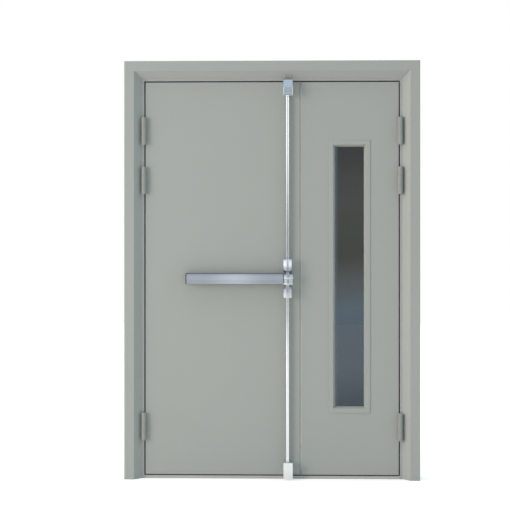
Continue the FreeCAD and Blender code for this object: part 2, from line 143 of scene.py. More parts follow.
def noiseOf(tree, place, scale, detail=3.0, stretch=(1.0, 1.0, 1.0)):
    # Noise with its pattern drawn out along the axes where the stretch is small
    moved = addNode(tree, "ShaderNodeMapping", {"Vector": place, "Scale": stretch})
    return addNode(
        tree, "ShaderNodeTexNoise",
        {"Vector": moved.outputs["Vector"], "Scale": scale, "Detail": detail},
    ).outputs[0]


def spread(tree, value, low, high, fromLow=0.3, fromHigh=0.7):
    # The value carried from one range to another; the first one fits what noise gives
    return addNode(
        tree, "ShaderNodeMapRange",
        {"Value": value, "From Min": fromLow, "From Max": fromHigh, "To Min": low, "To Max": high},
    ).outputs[0]


def mixColours(tree, factor, first, second):
    # Sockets 0, 6 and 7 of the mix node are its factor and its two colours
    sockets = {0: factor, 6: first, 7: second}
    return addNode(tree, "ShaderNodeMix", sockets, data_type="RGBA").outputs[2]


def combined(tree, operation, *values):
    # One math node over two or three values
    return addNode(tree, "ShaderNodeMath", dict(enumerate(values)), operation=operation).outputs[0]


def shaded(colour, share):
    # The colour times the share, with its alpha kept
    return (*[part * share for part in colour[:3]], colour[3])


def toned(tree, factor, colour, depth):
    # The colour, darker by the depth where the factor is 0 and lighter by it where it is 1
    return mixColours(tree, factor, shaded(colour, 1 - depth), shaded(colour, 1 + depth))


def addRoughness(tree, shader, noise, middle, swing):
    # Gloss that varies with the noise, by the swing to both sides of the middle
    tree.links.new(spread(tree, noise, middle - swing, middle + swing), shader.inputs["Roughness"])


def addBump(tree, shader, height, depth, strength):
    bump = addNode(tree, "ShaderNodeBump", {"Height": height, "Distance": depth, "Strength": strength})
    tree.links.new(bump.outputs["Normal"], shader.inputs["Normal"])


def paintMaterial(name, look):
    # Powder coat: an even colour with a faint cloudiness, and orange peel in bump and gloss
    material, tree, shader, place = startMaterial(name, {"Specular IOR Level": look["specular"]})
    clouds = spread(tree, noiseOf(tree, place, **look["clouds"]), 0.0, 1.0)
    tint = toned(tree, clouds, look["colour"], look["cloudDepth"])
    tree.links.new(tint, shader.inputs["Base Color"])
    handling = noiseOf(tree, place, **look["handling"])
    addRoughness(tree, shader, handling, look["roughness"], look["roughSwing"])
    peel = noiseOf(tree, place, **look["peel"])
    addBump(tree, shader, peel, look["peelDepth"], look["peelStrength"])
    return material


paintLook = {
    "colour": shownColour(167, 170.5, 164.5),
    "specular": 0.35,
    "roughness": 0.5,
    "roughSwing": 0.05,
    "clouds": {"scale": 1.3, "detail": 4.0},
    "cloudDepth": 0.012,
    "handling": {"scale": 14.0, "detail": 5.0},
    "peel": {"scale": 900.0, "detail": 2.0},
    "peelDepth": 0.00012,
    "peelStrength": 0.6,
}
framePaint = paintMaterial("framePaint", {**paintLook, "colour": shownColour(168, 170.5, 166)})
leafPaint = paintMaterial("leafPaint", paintLook)
# The sill's lighter copy of the paint is painted light, standing in for light bounced from the floor
sillLitPaint = paintMaterial("sillLitPaint", {**paintLook, "colour": shownColour(184, 185, 181)})
# The hinges' darker copy of the paint is painted shade on their barrels
hingeShadedPaint = paintMaterial("hingeShadedPaint", {**paintLook, "colour": shownColour(149, 154, 148)})


def withPaintedLight(tree, place, tint, paintedLight):
    # Painted light: another colour round one place along an axis, by a smooth step of the distance from it
    along = addNode(tree, "ShaderNodeSeparateXYZ", {"Vector": place}).outputs[paintedLight["axis"]]
    away = combined(tree, "ABSOLUTE", combined(tree, "SUBTRACT", along, paintedLight["at"]))
    limits = {"Value": away, "From Min": paintedLight["reach"], "From Max": 0.0}
    share = addNode(tree, "ShaderNodeMapRange", limits, interpolation_type="SMOOTHSTEP").outputs[0]
    return mixColours(tree, share, tint, paintedLight["colour"])


def steelMaterial(name, look):
    # Bare stainless: fine scratches run along the stretched axis, in gloss, tone and bump
    material, tree, shader, place = startMaterial(name, {"Metallic": 1.0})
    scratches = noiseOf(tree, place, **look["scratches"])
    fine = spread(tree, scratches, -0.5, 0.5)
    bands = spread(tree, noiseOf(tree, place, **look["bands"]), *look["bandSpan"])
    tone = combined(tree, "MULTIPLY_ADD", fine, look["scratchShare"], bands)
    tint = toned(tree, tone, look["colour"], look["toneDepth"])
    # Where the look gives one, a band of painted light round one place
    if look["paintedLight"]:
        tint = withPaintedLight(tree, place, tint, look["paintedLight"])
    tree.links.new(tint, shader.inputs["Base Color"])
    addRoughness(tree, shader, scratches, look["roughness"], look["roughness"] * look["roughShare"])
    addBump(tree, shader, scratches, look["scratchDepth"], look["scratchStrength"])
    return material


barLook = {
    "colour": (0.55, 0.56, 0.62, 1.0),
    "roughness": 0.34,
    "roughShare": 0.2,
    "scratches": {"scale": 2600.0, "detail": 4.0, "stretch": (0.02, 1.0, 1.0)},
    "scratchShare": 0.3,
    "scratchDepth": 0.00004,
    "scratchStrength": 0.4,
    "bands": {"scale": 7.0, "stretch": (1.0, 0.1, 0.1)},
    "bandSpan": (0.2, 0.8),
    "toneDepth": 0.05,
    # Painted highlight: a lighter band across the middle of the bar
    "paintedLight": {"axis": "X", "at": -0.185, "reach": 0.17, "colour": (0.75, 0.76, 0.83, 1.0)},
}
# The rail's darker copy of the bar steel is painted shade, for the dark lines above and below the bar
railShadeLook = {**barLook, "colour": (0.35, 0.37, 0.41, 1.0), "paintedLight": None}
polishLook = {
    **barLook,
    "colour": (0.78, 0.80, 0.82, 1.0),
    "roughness": 0.16,
    "scratches": {"scale": 1500.0, "detail": 4.0, "stretch": (1.0, 1.0, 0.03)},
    "scratchDepth": 0.00002,
    "bands": {"scale": 30.0, "stretch": (1.0, 1.0, 0.2)},
    "toneDepth": 0.03,
    "paintedLight": None,
}
# A darker, rougher copy of the polished steel for the head and the lower guide; its darker colour is
# painted shade that dims their reflections
satinShadedLook = {**polishLook, "colour": (0.53, 0.56, 0.59, 1.0), "roughness": 0.26}
# The upper guide's steel turns dark blue towards its foot: painted shade, a dark reflection painted on its
# tapered end
guideFoot = nodeBox("upper_rod_guide")[0][2]
guideFootShadeLook = {
    **polishLook,
    "roughness": 0.24,
    "paintedLight": {"axis": "Z", "at": guideFoot, "reach": 0.034, "colour": (0.10, 0.15, 0.21, 1.0)},
}
barSteel = steelMaterial("brushedBarSteel", barLook)
railShadedSteel = steelMaterial("railSteelPaintedShade", railShadeLook)
polishedSteel = steelMaterial("polishedSteel", polishLook)
satinShadedSteel = steelMaterial("satinShadedSteel", satinShadedLook)
guideFootShadedSteel = steelMaterial("guideFootShadedSteel", guideFootShadeLook)
screwSteel = steelMaterial("screwSteel", {**polishLook, "roughness": 0.3})


def rubberMaterial(name, look):
    # Matt rubber or plastic with a patchy bloom and a fine grain
    material, tree, shader, place = startMaterial(name, {"Specular IOR Level": look["specular"]})
    bloom = spread(tree, noiseOf(tree, place, **look["bloom"]), 0.0, 1.0)
    tint = toned(tree, bloom, look["colour"], look["bloomDepth"])
    tree.links.new(tint, shader.inputs["Base Color"])
    grain = noiseOf(tree, place, **look["grain"])
    addRoughness(tree, shader, grain, look["roughness"], look["roughSwing"])
    addBump(tree, shader, grain, look["grainDepth"], look["grainStrength"])
    return material


rubberLook = {
    "colour": shownColour(64, 66, 66),
    "specular": 0.35,
    "roughness": 0.7,
    "roughSwing": 0.06,
    "bloom": {"scale": 30.0, "detail": 4.0},
    "bloomDepth": 0.11,
    "grain": {"scale": 1800.0, "detail": 2.0},
    "grainDepth": 0.0001,
    "grainStrength": 0.5,
}
capLook = {**rubberLook, "colour": shownColour(92, 95, 99), "roughness": 0.5}
sealRubber = rubberMaterial("sealRubber", rubberLook)
meetingRubber = rubberMaterial("meetingRubber", {**rubberLook, "colour": shownColour(150, 154, 150)})
capPlastic = rubberMaterial("capPlastic", capLook)


def glazingMaterial(name, look):
    # Grey tinted glass: a colour by height that wanders a little, partly tint and partly painted
    # reflection, and a paler painted reflection of the trim at one edge
    material, tree, shader, place = startMaterial(
        name, {"Roughness": look["roughness"], "IOR": look["ior"], "Transmission Weight": look["clear"]}
    )
    parts = addNode(tree, "ShaderNodeSeparateXYZ", {"Vector": place}).outputs
    noise = noiseOf(tree, place, **look["wander"])
    wander = spread(tree, noise, -look["wanderReach"], look["wanderReach"])
    low, high = nodeBox("vision_glass")
    # Colour bands by height: partly the glass's tint, partly painted reflection
    rise = spread(tree, combined(tree, "ADD", parts["Z"], wander), 0.0, 1.0, low[2], high[2])
    ramp = addNode(tree, "ShaderNodeValToRGB", {"Fac": rise})
    (lowShare, lowTint), *between, (highShare, highTint) = look["tintAndPaintedReflection"]
    first, last = ramp.color_ramp.elements[0], ramp.color_ramp.elements[1]
    first.position, first.color = lowShare, lowTint
    last.position, last.color = highShare, highTint
    for share, tint in between:
        ramp.color_ramp.elements.new(share).color = tint
    # A paler strip inside one side edge is a painted reflection of the trim's inner side
    edge = low[0] + look["hiddenEdge"]
    edgeReflection = spread(tree, parts["X"], look["edgeReflectionShare"], 0.0, edge, edge + look["edgeReflectionWidth"])
    tint = mixColours(tree, edgeReflection, ramp.outputs["Color"], look["edgeReflectionTint"])
    tree.links.new(tint, shader.inputs["Base Color"])
    return material


glazingLook = {
    "clear": 0.9,
    "roughness": 0.02,
    "ior": 1.5,
    "wander": {"scale": 3.0, "stretch": (2.0, 1.0, 0.4)},
    "wanderReach": 0.02,
    "hiddenEdge": 0.010,
    # Paler strip at one edge: painted reflection of the trim's inner side
    "edgeReflectionWidth": 0.020,
    "edgeReflectionShare": 0.7,
    "edgeReflectionTint": shownColour(100, 113, 125),
    # Colour by height: partly tint, partly painted reflection
    "tintAndPaintedReflection": [
        (0.04, shownColour(50, 67, 79)),
        (0.15, shownColour(77, 89, 102)),
        (0.30, shownColour(80, 93, 106)),
        (0.38, shownColour(91, 104, 112)),
        (0.47, shownColour(88, 93, 94)),
        (0.57, shownColour(72, 74, 70)),
        (0.67, shownColour(73, 78, 73)),
        (0.76, shownColour(75, 78, 75)),
        (0.87, shownColour(70, 71, 69)),
        (0.96, shownColour(56, 57, 56)),
    ],
}
glazing = glazingMaterial("tintedGlazing", glazingLook)


def coreMaterial(name, look):
    # Paper honeycomb filling: pale cell walls round darker cells
    material, tree, shader, place = startMaterial(name, {"Roughness": look["roughness"]})
    cells = addNode(
        tree, "ShaderNodeTexVoronoi", {"Vector": place, "Scale": look["cells"]}, feature="DISTANCE_TO_EDGE"
    ).outputs[0]
    walls = spread(tree, cells, 0.0, 1.0, *look["wallEdges"])
    tint = mixColours(tree, walls, look["wallColour"], look["cellColour"])
    tree.links.new(tint, shader.inputs["Base Color"])
    return material


coreLook = {
    "cells": 60.0,
    "wallEdges": (0.02, 0.08),
    "wallColour": shownColour(196, 178, 140),
    "cellColour": shownColour(120, 104, 76),
    "roughness": 0.9,
}
honeycomb = coreMaterial("paperHoneycomb", coreLook)
print("finishes: %d materials" % len(bpy.data.materials))

nodeFinishes = {
    framePaint: ["left_jamb", "right_jamb", "head"],
    sillLitPaint: ["sill"],
    leafPaint: ["left_front_skin", "left_back_skin", "right_front_skin", "right_back_skin",
                "vision_front_trim", "vision_back_trim"],
    railShadedSteel: ["push_bar_rail"],
    meetingRubber: ["meeting_seal"],
    sealRubber: ["vision_gasket"],
    glazing: ["vision_glass"],
    honeycomb: ["left_core", "right_core"],
}
for finish, names in nodeFinishes.items():
    for name in names:
        for materialSlot in frame["nodes"][name].material_slots:
            materialSlot.material = finish


# Shapes as arrays of points
def outlinePoints(corners, radii, arcSteps=9, sideSteps=7):
    # Each corner becomes an arc about the point where its two sides, moved in by the radius,
    # meet: centre + (sin((1 - u) f) first + sin(u f) last) / sin f, where f is the angle turned
    corners = np.asarray(corners, float)
    radii = np.asarray(radii, float)[:, None]
    toLast = np.roll(corners, 1, 0) - corners
    toNext = np.roll(corners, -1, 0) - corners
    toLast /= np.linalg.norm(toLast, axis=1, keepdims=True)
    toNext /= np.linalg.norm(toNext, axis=1, keepdims=True)
    half = np.arccos(np.clip((toLast * toNext).sum(1, keepdims=True), -1, 1)) / 2
    bisector = toLast + toNext
    bisector /= np.linalg.norm(bisector, axis=1, keepdims=True)
    centre = corners + bisector * radii / np.sin(half)
    first = (corners + toLast * radii / np.tan(half) - centre)[:, None]
    last = (corners + toNext * radii / np.tan(half) - centre)[:, None]
    turned = (math.pi - 2 * half)[:, :, None]
    u = np.linspace(0, 1, arcSteps)[None, :, None]
    arcs = centre[:, None] + (np.sin((1 - u) * turned) * first + np.sin(u * turned) * last) / np.sin(turned)
    v = np.linspace(0, 1, sideSteps + 2)[None, 1:-1, None]
    sides = arcs[:, -1, None] * (1 - v) + np.roll(arcs[:, 0], -1, 0)[:, None] * v
    return np.concatenate([arcs, sides], axis=1).reshape(-1, 2)


def placed(outline, level, plane):
    # A flat outline set at a level of the third axis
    a, b = outline[:, 0], outline[:, 1]
    c = np.full(len(a), level)
    return np.stack({"plan": (a, b, c), "side": (c, a, b), "front": (a, c, b)}[plane], axis=1)


def shellOf(rows, closed=False):
    # Rows of points as a grid of quads, where point j of row i has the number i width + j. A
    # closed shell joins its last row to its first, and an open one has a face over each end
    rows = np.asarray(rows)
    count, width = rows.shape[:2]
    i, j = np.meshgrid(np.arange(count if closed else count - 1), np.arange(width), indexing="ij")
    nextI = (i + 1) % count
    nextJ = (j + 1) % width
    quads = np.stack([i * width + j, i * width + nextJ, nextI * width + nextJ, nextI * width + j], -1)
    ends = [] if closed else [np.arange(width)[::-1], np.arange(width) + (count - 1) * width]
    return rows.reshape(-1, 3), quads.reshape(-1, 4), ends


def prism(outline, start, end, plane):
    # The same outline at both ends of a straight run
    return shellOf([placed(outline, start, plane), placed(outline, end, plane)])


def block(low, high):
    # Box between two corners
    outline = np.array([(low[0], low[1]), (high[0], low[1]), (high[0], high[1]), (low[0], high[1])])
    return prism(outline, low[2], high[2], "plan")


def turnedRows(profile, centre, segments=48):
    # Surface of revolution: (x, y) = centre + radius (cos t, sin t), at each profile point's height
    profile = np.asarray(profile, float)
    t = np.arange(segments) * 2 * math.pi / segments
    ring = np.stack([np.cos(t), np.sin(t)], axis=1)
    flat = centre + profile[:, 0, None, None] * ring[None]
    heights = np.broadcast_to(profile[:, 1, None, None], (len(profile), segments, 1))
    return np.concatenate([flat, heights], axis=2)


def roundRim(radius, height, size, outward, steps=5):
    # Quarter circle of a rim: radius - size + size sin t, height + outward (size - size cos t)
    t = np.linspace(0, math.pi / 2, steps)
    return np.stack([radius - size + size * np.sin(t), height + outward * size * (1 - np.cos(t))], axis=1)


def makePiece(name, shells, material, body, replaced=(), sharpAngle=38):
    # One mesh of all the shells, with smooth faces up to the sharp angle, riding on its body
    starts = np.cumsum([0] + [len(points) for points, quads, ends in shells])
    faces = []
    for start, (points, quads, ends) in zip(starts, shells):
        faces += (quads + start).tolist() + [(end + start).tolist() for end in ends]
    mesh = bpy.data.meshes.new(name)
    mesh.from_pydata(np.concatenate([points for points, quads, ends in shells]).tolist(), [], faces)
    work = bmesh.new()
    work.from_mesh(mesh)
    bmesh.ops.remove_doubles(work, verts=work.verts, dist=1e-6)
    bmesh.ops.recalc_face_normals(work, faces=work.faces)
    work.to_mesh(mesh)
    work.free()
    mesh.polygons.foreach_set("use_smooth", np.ones(len(mesh.polygons), bool))
    mesh.set_sharp_from_angle(angle=math.radians(sharpAngle))
    mesh.materials.append(material)
    piece = bpy.data.objects.new(name, mesh)
    bpy.context.scene.collection.objects.link(piece)
    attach(piece, body)
    if replaced:
        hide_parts(*replaced)
    return piece


# Small countersunk screws with a six-sided socket
screwLook = {
    "radius": 0.0042,
    "proud": 0.00015,
    "cone": 0.0024,
    "coneShare": 0.45,
    "faceShare": 0.93,
    "rimDrop": 0.0003,
    "socket": 0.0017,
    "socketDepth": 0.0016,
    "socketDrop": 0.00015,
    "mouthShare": 1.12,
    "floorShare": 0.97,
}


def screwShell(point, toward, look=screwLook, segments=24):
    # Rings about the screw's axis; a ring of the socket has radius s / cos(t mod 60 deg - 30 deg)
    t = np.arange(segments) * 2 * math.pi / segments
    sixSided = 1 / np.cos(np.mod(t, math.pi / 3) - math.pi / 6)
    even = np.ones(segments)
    head, socket = look["radius"], look["socket"]
    rings = [
        (head * look["coneShare"] * even, -look["cone"]),
        (head * even, -look["rimDrop"]),
        (head * look["faceShare"] * even, 0.0),
        (socket * look["mouthShare"] * sixSided, 0.0),
        (socket * sixSided, -look["socketDrop"]),
        (socket * look["floorShare"] * sixSided, -look["socketDepth"]),
    ]
    axis = Vector(toward).normalized()
    across = axis.orthogonal().normalized()
    other = axis.cross(across)
    around = np.cos(t)[:, None] * np.array(across) + np.sin(t)[:, None] * np.array(other)
    rows = []
    for radius, height in rings:
        spot = np.array(point) + np.array(axis) * (height + look["proud"])
        rows.append(spot + radius[:, None] * around)
    return shellOf(rows)


# Hinges: turned barrels of three knuckles, plates with rounded corners and countersunk screws
hingeLook = {
    "barrelRadius": 0.012,
    "pinRadius": 0.005,
    "bore": 0.0052,
    "rim": 0.0012,
    "knuckles": 3,
    "knuckleGap": 0.0004,
    "plateThickness": 0.0025,
    "plateDepth": 0.030,
    "plateCorner": 0.004,
    "screwHeights": (0.13, 0.38, 0.62, 0.87),
    "screwDepths": (0.010, 0.021),
}


def knuckleWall(look, low, high):
    # Profile of a knuckle's outer wall, with a rounded rim at both ends
    foot = roundRim(look["barrelRadius"], low, look["rim"], 1)
    top = roundRim(look["barrelRadius"], high, look["rim"], -1)
    return np.concatenate([foot, top[::-1]])


def hingePlate(look, wallX, thickness, foot, top, spans, axisY):
    # Plate on the wall at wallX, and the straps that carry its knuckles
    back = leafFront + look["plateDepth"]
    corners = [(leafFront, foot), (back, foot), (back, top), (leafFront, top)]
    radii = [0, look["plateCorner"], look["plateCorner"], 0]
    outline = outlinePoints(corners, radii, arcSteps=5, sideSteps=1)
    shells = [prism(outline, wallX, wallX + thickness, "side")]
    for low, high in spans:
        x0, x1 = sorted((wallX, wallX + thickness))
        shells.append(block((x0, axisY, low), (x1, leafFront, high)))
    return shells


def plateScrews(look, faceX, foot, top, facing):
    # A screw at each share of the plate's height, at two depths in turn
    shells = []
    for index, share in enumerate(look["screwHeights"]):
        depth = look["screwDepths"][index % 2]
        point = (faceX, leafFront + depth, foot + share * (top - foot))
        shells.append(screwShell(point, (facing, 0, 0)))
    return shells


def makeHinge(side, place):
    # Knuckles turned about the pin's axis: the outer two with the pin, and the bored middle one
    look = hingeLook
    joint = [each for each in frame["joints"] if each["name"] == side + "_leaf_swing"][0]
    axisX, axisY = joint["pos_m"][:2]
    outward = math.copysign(1.0, axisX)
    centre = np.array([axisX, axisY])
    base = side + "_" + place + "_hinge"
    foot, top = (corner[2] for corner in nodeBox(base + "_on_frame"))
    cuts = np.linspace(foot, top, look["knuckles"] + 1)
    gap = look["knuckleGap"] / 2
    lowSpan = (foot, cuts[1] - gap)
    middleSpan = (cuts[1] + gap, cuts[2] - gap)
    topSpan = (cuts[2] + gap, top)
    pin, bore, thickness = look["pinRadius"], look["bore"], look["plateThickness"]
    turned = [(0.0, foot), *knuckleWall(look, *lowSpan), (pin, lowSpan[1]),
              (pin, topSpan[0]), *knuckleWall(look, *topSpan), (0.0, top)]
    bored = [(bore, middleSpan[0]), *knuckleWall(look, *middleSpan), (bore, middleSpan[1])]
    frameWall, leafWall = outward * halfOpening, outward * leafOuter
    frameShells = hingePlate(look, frameWall, -outward * thickness, foot, top, (lowSpan, topSpan), axisY)
    leafShells = hingePlate(look, leafWall, outward * thickness, foot, top, (middleSpan,), axisY)
    frameShells.append(shellOf(turnedRows(turned, centre)))
    leafShells.append(shellOf(turnedRows(bored, centre), closed=True))
    leafBody = side + "_leaf"
    makePiece(base + "_frame_half", frameShells, hingeShadedPaint, "frame", [base + "_on_frame"])
    makePiece(base + "_leaf_half", leafShells, hingeShadedPaint, leafBody, [base + "_on_leaf"])
    frameScrews = plateScrews(look, frameWall - outward * thickness, foot, top, -outward)
    leafScrews = plateScrews(look, leafWall + outward * thickness, foot, top, outward)
    makePiece(base + "_frame_screws", frameScrews, screwSteel, "frame")
    makePiece(base + "_leaf_screws", leafScrews, screwSteel, leafBody)


for side in ("left", "right"):
    for place in ("top", "upper", "bottom"):
        makeHinge(side, place)
print("hinges: 6, each with eight screws")


# Cases, guides and head: upright fittings on the leaf, bored for the rod. A level of one is its
# height, half width, front and back
fittingLook = {"bore": 0.0103, "boltBore": 0.0073, "rim": 0.0008}
exitHeadLook = {
    "plan": {"bow": 0.010, "corner": 0.0012, "frontSteps": 13},
    "domeLength": 0.011,
    "domeInset": 0.005,
    "domeSteps": 12,
    "capMargin": 0.0015,
}
guideLook = {
    "plan": {"bow": 0.009, "corner": 0.003, "frontSteps": 13},
    "taperLength": 0.016,
    "taperInset": 0.005,
    "taperSteps": 10,
}
caseLook = {
    "plan": {"bow": 0.0, "corner": 0.003, "frontSteps": 2},
    "slopeHeight": 0.035,
    "slopeDepth": 0.010,
    "slopeEase": 0.008,
    "slopeSteps": 7,
    "flangeHeight": 0.013,
    "flangeMargin": 0.0015,
    "relief": 0.006,
    "rim": 0.001,
    "softRim": 0.0035,
    "rodInCase": 0.033,
    "shoulderGap": 0.006,
}


def fittingOutline(level, middle, plan):
    # Flat back, straight sides and rounded corners; the front is y = front + bow (a / half)^2
    z, half, front, back = level
    a = np.linspace(half, -half, plan["frontSteps"])
    bowed = np.stack([a, front + plan["bow"] * (a / half) ** 2], axis=1)
    corners = np.concatenate([[(half, back)], bowed, [(-half, back)]]) + (middle, 0.0)
    radii = np.zeros(len(corners))
    radii[[1, -2]] = plan["corner"]
    return placed(outlinePoints(corners, radii, arcSteps=9, sideSteps=9), z, "plan")


def fittingShell(node, levels, plan, bores):
    # The outer wall from foot to top, then the bore from top to foot, as one closed surface.
    # A bore point lies from the rod's axis towards its outline point, at the bore's radius
    low, high = nodeBox(node)
    outer = [fittingOutline(level, (low[0] + high[0]) / 2, plan) for level in levels]
    away = outer[0][:, :2] - (rodX, rodY)
    unit = away / np.linalg.norm(away, axis=1, keepdims=True)
    inner = [np.column_stack([(rodX, rodY) + radius * unit, np.full(len(unit), z)]) for radius, z in bores]
    return shellOf(outer + inner, closed=True)


def rimLevels(z, half, front, back, size, outward, steps=4):
    # Rounded rim of a fitting: its sides and front draw in by size (1 - sin t) over a quarter turn
    t = np.linspace(0, math.pi / 2, steps)
    inset = size * (1 - np.sin(t))
    heights = z + outward * size * (1 - np.cos(t))
    levels = [(h, half - d, front + d, back) for h, d in zip(heights, inset)]
    return levels if outward > 0 else levels[::-1]


def makeHead():
    # Body with a slightly wider cap, whose top rim is domed
    look = exitHeadLook
    low, high = nodeBox("exit_head")
    half, front = (high[0] - low[0]) / 2, low[1]
    margin, rim = look["capMargin"], fittingLook["rim"]
    middle = (low[2] + high[2]) / 2
    levels = rimLevels(low[2], half - margin, front + margin, leafFront, rim, 1)
    levels += rimLevels(middle, half - margin, front + margin, leafFront, rim, -1)
    levels += rimLevels(middle, half, front, leafFront, rim, 1)
    # Dome: the wall moves in by inset (1 - cos t) while the height rises by length sin t
    t = np.linspace(0, math.pi / 2, look["domeSteps"])
    inset = look["domeInset"] * (1 - np.cos(t))
    heights = high[2] - look["domeLength"] * (1 - np.sin(t))
    levels += [(z, half - d, front + d, leafFront) for z, d in zip(heights, inset)]
    bores = [(fittingLook["bore"], high[2]), (fittingLook["bore"], low[2])]
    shell = fittingShell("exit_head", levels, look["plan"], bores)
    # Cheek that closes the body's side against the bar
    sideFront = front + look["plan"]["bow"] + look["plan"]["corner"]
    cheek = block((low[0], sideFront, low[2] + rim), (low[0] + margin, leafFront, middle))
    pieces = [shell, cheek]
    makePiece("exit_head_housing", pieces, satinShadedSteel, "left_leaf", ["exit_head"])


def makeGuide(node, taperUp, steel):
    # Bowed sleeve with a tapered end: the wall moves in by inset (1 - cos s) along it
    look = guideLook
    low, high = nodeBox(node)
    half, front = (high[0] - low[0]) / 2, low[1]
    s = np.linspace(0, math.pi / 2, look["taperSteps"])
    inset = look["taperInset"] * (1 - np.cos(s))
    reach = look["taperLength"] * s / (math.pi / 2)
    if taperUp:
        heights = high[2] - look["taperLength"] + reach
        levels = rimLevels(low[2], half, front, leafFront, fittingLook["rim"], 1)
        levels += [(z, half - d, front + d, leafFront) for z, d in zip(heights, inset)]
    else:
        heights = low[2] + look["taperLength"] - reach
        levels = [(z, half - d, front + d, leafFront) for z, d in zip(heights, inset)][::-1]
        levels += rimLevels(high[2], half, front, leafFront, fittingLook["rim"], -1)
    bores = [(fittingLook["bore"], high[2]), (fittingLook["bore"], low[2])]
    shell = fittingShell(node, levels, look["plan"], bores)
    makePiece(node + "_sleeve", [shell], steel, "left_leaf", [node])


def makeTopCase():
    # Case on a wider flange: its front leans back towards the top, where it clears the head's lip
    look = caseLook
    low, high = nodeBox("top_latch_case")
    margin, rim = look["flangeMargin"], look["rim"]
    wide = (high[0] - low[0]) / 2
    half = wide - margin
    front, flangeTop, top = low[1] + margin, low[2] + look["flangeHeight"], high[2]
    levels = rimLevels(low[2], wide, low[1], leafFront, rim, 1)
    levels += rimLevels(flangeTop, wide, low[1], leafFront, rim, -1)
    levels += [(flangeTop, half, front, leafFront)]
    # Slope: over the ease the front leans as lean s squared / 2, and above it by an even lean
    lean = look["slopeDepth"] / look["slopeHeight"]
    s = np.linspace(0, 1, look["slopeSteps"])
    foot = top - look["slopeHeight"] - look["slopeEase"] / 2
    eased = lean * look["slopeEase"] * s**2 / 2
    levels += [(foot + look["slopeEase"] * part, half, front + d, leafFront) for part, d in zip(s, eased)]
    ledge, setBack = leafTop - look["relief"], leafFront - look["relief"]
    at = front + lean * (ledge - top + look["slopeHeight"])
    levels += [(ledge, half, at, leafFront), (ledge, half, at, setBack)]
    levels += rimLevels(top, half, front + look["slopeDepth"], setBack, rim, -1)
    shoulder = low[2] + look["rodInCase"] + look["shoulderGap"]
    boltBore, bore = fittingLook["boltBore"], fittingLook["bore"]
    bores = [(boltBore, top), (boltBore, shoulder), (bore, shoulder), (bore, low[2])]
    shell = fittingShell("top_latch_case", levels, look["plan"], bores)
    makePiece(
        "top_latch_housing", [shell], polishedSteel, "left_leaf", ["top_latch_case"]
    )


def makeBottomCase():
    # Straight case with a softly rounded top, cut away below the leaf's foot to clear the sill
    look = caseLook
    low, high = nodeBox("bottom_latch_case")
    half, front = (high[0] - low[0]) / 2, low[1]
    ledge, setBack = leafFoot + look["relief"], leafFront - look["relief"]
    levels = rimLevels(low[2], half, front, setBack, look["rim"], 1)
    levels += [(ledge, half, front, setBack), (ledge, half, front, leafFront)]
    levels += rimLevels(high[2], half, front, leafFront, look["softRim"], -1, steps=7)
    shoulder = high[2] - look["rodInCase"] - look["shoulderGap"]
    boltBore, bore = fittingLook["boltBore"], fittingLook["bore"]
    bores = [(bore, high[2]), (bore, shoulder), (boltBore, shoulder), (boltBore, low[2])]
    shell = fittingShell("bottom_latch_case", levels, look["plan"], bores)
    makePiece(
        "bottom_latch_housing", [shell], polishedSteel, "left_leaf", ["bottom_latch_case"]
    )


makeHead()
makeGuide("upper_rod_guide", False, guideFootShadedSteel)
makeGuide("lower_rod_guide", True, satinShadedSteel)
makeTopCase()
makeBottomCase()
print("exit device: head, two guides and two latch cases")

# Rods with their bolts
rodLook = {"bolt": 0.007, "chamfer": 0.0012, "segments": 64}


def makeRod(node, rodEnd, boltEnd, innerEnd):
    # Turned profile from the inner end to the bolt's tip, with chamfered ends
    bolt, cut = rodLook["bolt"], rodLook["chamfer"]
    step = cut * math.copysign(1.0, boltEnd - innerEnd)
    profile = [
        (0.0, innerEnd), (rodRadius - cut, innerEnd), (rodRadius, innerEnd + step),
        (rodRadius, rodEnd - step), (rodRadius - cut, rodEnd), (bolt, rodEnd),
        (bolt, boltEnd - 2 * step), (bolt - 2 * cut, boltEnd), (0.0, boltEnd),
    ]
    shell = shellOf(turnedRows(profile, np.array([rodX, rodY]), rodLook["segments"]))
    makePiece(node + "_bar", [shell], polishedSteel, node, [node])


topCaseLow = nodeBox("top_latch_case")[0][2]
bottomCaseHigh = nodeBox("bottom_latch_case")[1][2]
makeRod("upper_rod", topCaseLow + caseLook["rodInCase"], upperRodHigh[2], upperRodLow[2])
makeRod("lower_rod", bottomCaseHigh - caseLook["rodInCase"], lowerRodLow[2], lowerRodHigh[2])
print("rods: 2")

# Push bar: a folded pad that stands in its rail, and a moulded end cap
padLook = {
    "wall": 0.002,
    "apron": 0.002,
    "apronHeight": 0.017,
    "apronBend": 0.004,
    "apronInnerBend": 0.003,
    "bend": 0.0022,
    "innerBend": 0.0005,
    "endPlate": 0.0015,
    "flangeReach": 0.030,
    "stemSide": 0.010,
    "stemInset": 0.070,
}


